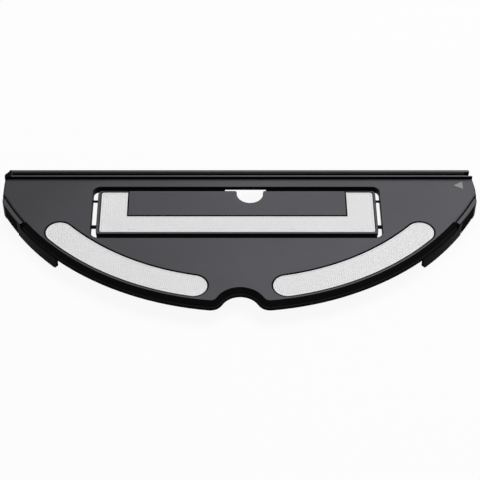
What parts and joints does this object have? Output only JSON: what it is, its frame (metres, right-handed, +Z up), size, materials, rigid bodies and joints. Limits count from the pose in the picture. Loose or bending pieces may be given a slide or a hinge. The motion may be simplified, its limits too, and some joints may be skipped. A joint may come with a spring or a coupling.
{
  "type": "robot vacuum mop bracket",
  "caption": "Half-moon mop cloth bracket for a round robot vacuum, with a cloth slot, hook tape, a floating scrub plate on guide pins and sprung side latches.",
  "frame": {"origin": "middle of the footprint, on the surface that the two ears stand on, with the cloth face up", "axes": "+X along the straight front edge towards the end where the cloth slot opens, +Y from the round rear edge to the straight front edge, +Z up out of the cloth face"},
  "size_m": [0.3076, 0.1171, 0.0175],
  "materials": {
    "shell": "fine texture",
    "plate": "fine texture",
    "cover": "fine texture",
    "ear": "satin",
    "button": "ribbed",
    "hook_tape": "nylon hooks",
    "pin_steel": "ground, dark",
    "spring_steel": "drawn wire",
    "screw_steel": "black zinc",
    "bush": "smooth",
    "magnet": "nickel plated"
  },
  "bodies": {
    "frame": {"cloth_shell": "shell", "robot_side_cover": "cover", "left_ear": "ear", "right_ear": "ear", "left_latch_spring": "spring_steel", "right_latch_spring": "spring_steel", "front_left_pin": "pin_steel", "front_right_pin": "pin_steel", "rear_left_pin": "pin_steel", "rear_right_pin": "pin_steel", "left_hook_strip": "hook_tape", "right_hook_strip": "hook_tape", "detection_magnet": "magnet", "frame_screws": "screw_steel", "ear_screws": "screw_steel"},
    "scrub": {"scrub_plate": "plate", "scrub_plate_cover": "cover", "front_left_bush": "bush", "front_right_bush": "bush", "rear_left_bush": "bush", "rear_right_bush": "bush", "scrub_hook_strip": "hook_tape", "scrub_plate_screws": "screw_steel"},
    "left_latch": {"left_latch_button": "button"},
    "right_latch": {"right_latch_button": "button"}
  },
  "joints": [
    {"name": "scrub_slide", "type": "slide", "parent": "frame", "child": "scrub", "axis": [1, 0, 0], "range_m": [-0.0028, 0.0023]},
    {"name": "left_latch_press", "type": "slide", "parent": "frame", "child": "left_latch", "axis": [0.8503, 0.5262, 0], "range_m": [0, 0.0025], "stiffness_N_per_m": 560, "springref_m": -0.004, "deforming": ["left_latch_spring"]},
    {"name": "right_latch_press", "type": "slide", "parent": "frame", "child": "right_latch", "axis": [-0.8503, 0.5262, 0], "range_m": [0, 0.0025], "stiffness_N_per_m": 560, "springref_m": -0.004, "deforming": ["right_latch_spring"]}
  ]
}
